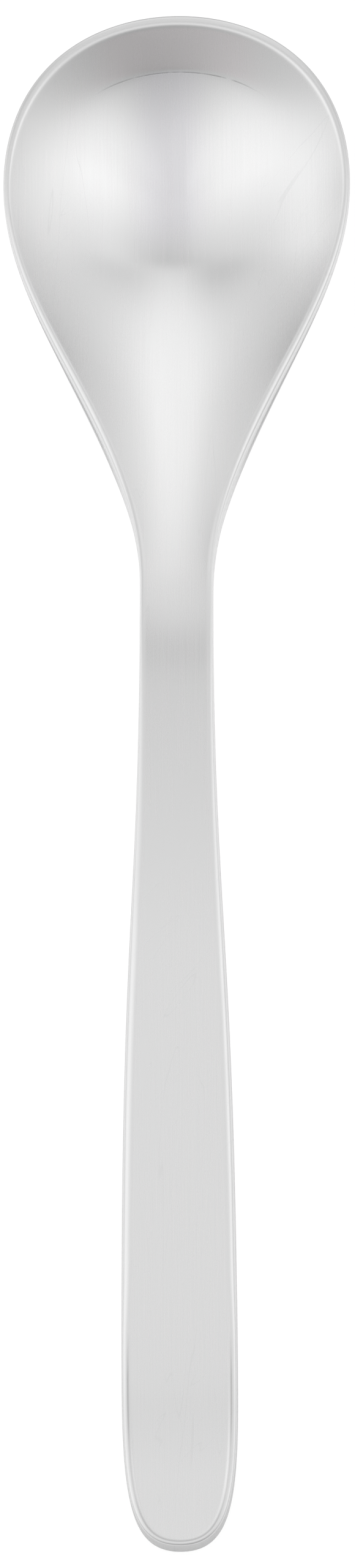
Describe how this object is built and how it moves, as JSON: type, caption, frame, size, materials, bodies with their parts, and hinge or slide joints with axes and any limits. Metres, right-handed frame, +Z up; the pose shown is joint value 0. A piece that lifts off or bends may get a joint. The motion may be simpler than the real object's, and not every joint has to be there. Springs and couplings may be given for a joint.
{
  "type": "teaspoon",
  "caption": "Teaspoon pressed from one strip of satin steel, with an egg-shaped bowl, a slim arched neck and a flat handle that widens to a rounded end, for stirring and eating.",
  "frame": {"origin": "centre of the bounding box at the table that the spoon lies on, bowl up", "axes": "+Y along the spoon from the handle to the bowl's tip, +Z up out of the open bowl, +X to the right seen from above with the bowl ahead"},
  "size_m": [0.0316, 0.143, 0.0097],
  "materials": {
    "satin_steel": "satin"
  },
  "bodies": {
    "root": {"spoon": "satin_steel"}
  },
  "joints": []
}
